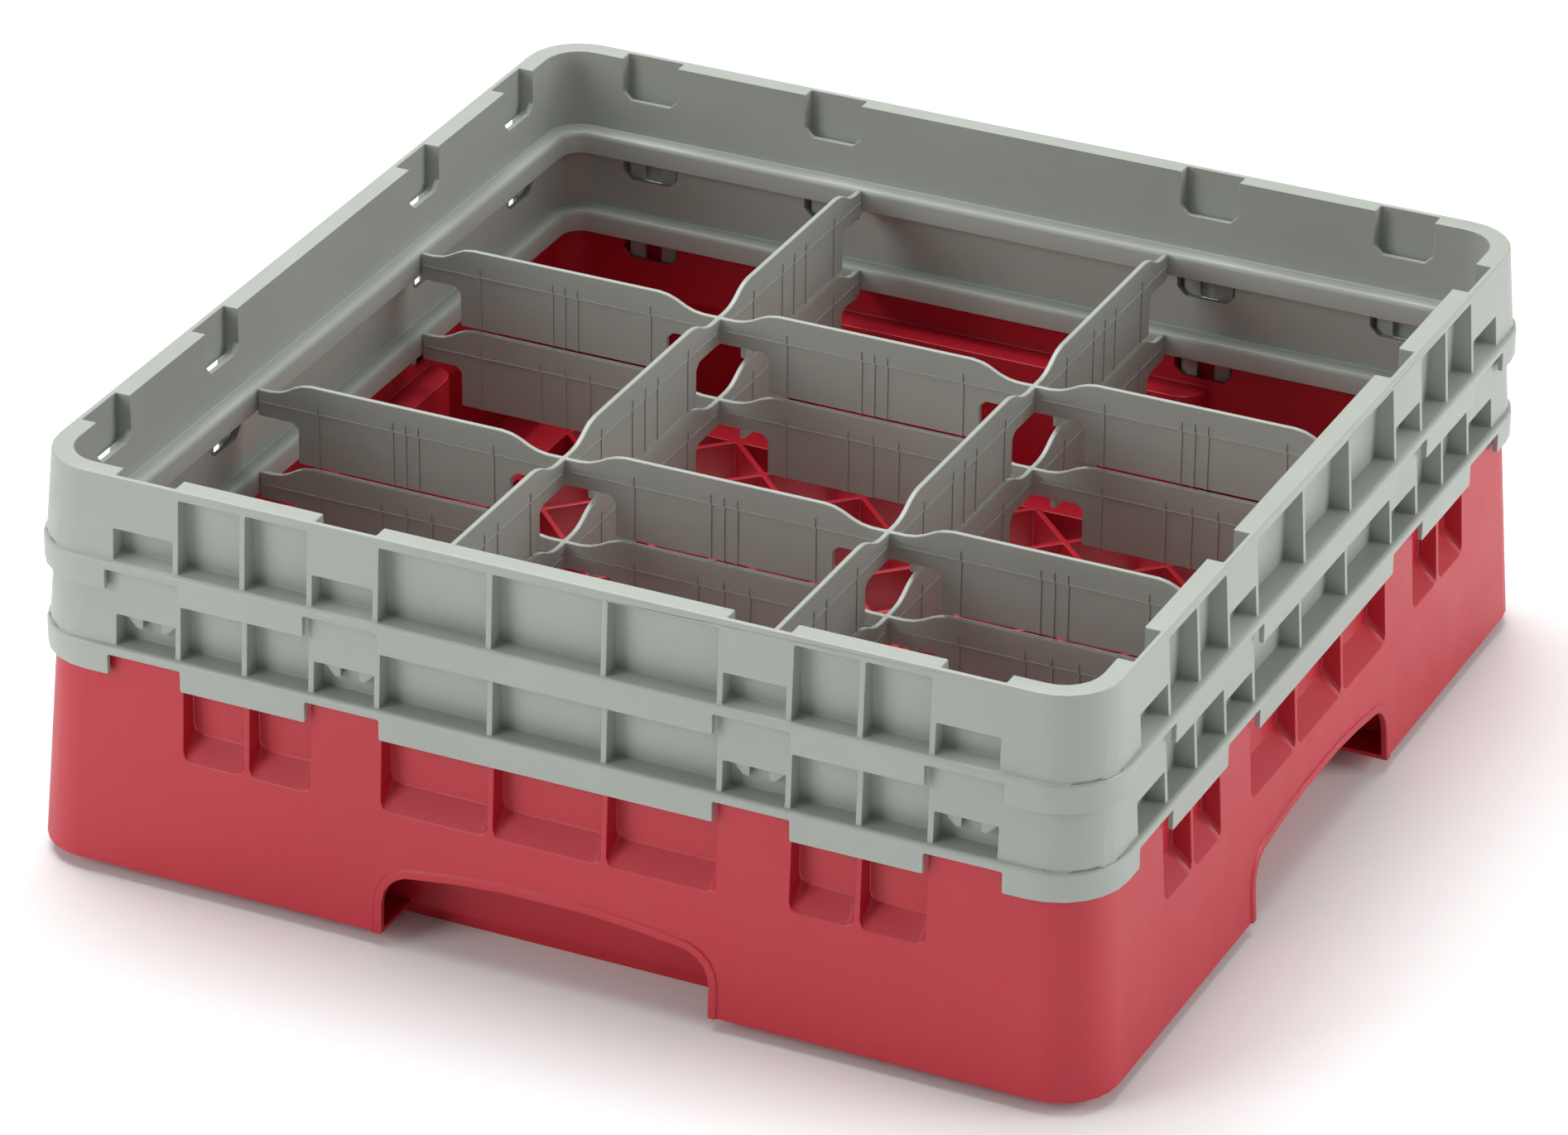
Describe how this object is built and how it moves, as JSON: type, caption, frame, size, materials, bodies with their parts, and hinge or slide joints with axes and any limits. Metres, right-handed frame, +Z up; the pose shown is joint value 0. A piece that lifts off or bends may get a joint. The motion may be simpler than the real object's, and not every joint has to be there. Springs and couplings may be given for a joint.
{
  "type": "stacking glass rack",
  "caption": "Square open-floored glass rack: a deep base with hand-holds, topped by stacking extenders whose crossed dividers part it into compartments.",
  "frame": {"origin": "centre of the footprint, on the surface that the rack stands on", "axes": "+Z up through the open top; +X and +Y along two sides of the square, so -Y is the pictured front"},
  "size_m": [0.5032, 0.5032, 0.1915],
  "materials": {
    "red_polypropylene": "satin moulded polypropylene",
    "grey_polypropylene": "satin moulded polypropylene"
  },
  "bodies": {
    "base": {"base_walls": "red_polypropylene", "base_floor": "red_polypropylene"},
    "lower_extender": {"lower_extender_frame": "grey_polypropylene", "lower_extender_divider_grid": "grey_polypropylene"},
    "upper_extender": {"upper_extender_frame": "grey_polypropylene", "upper_extender_divider_grid": "grey_polypropylene"}
  },
  "joints": [
    {"name": "lower_extender_lift", "type": "slide", "parent": "base", "child": "lower_extender", "axis": [0, 0, 1], "range_m": [0, 0.04]},
    {"name": "upper_extender_lift", "type": "slide", "parent": "lower_extender", "child": "upper_extender", "axis": [0, 0, 1], "range_m": [0, 0.04]}
  ]
}
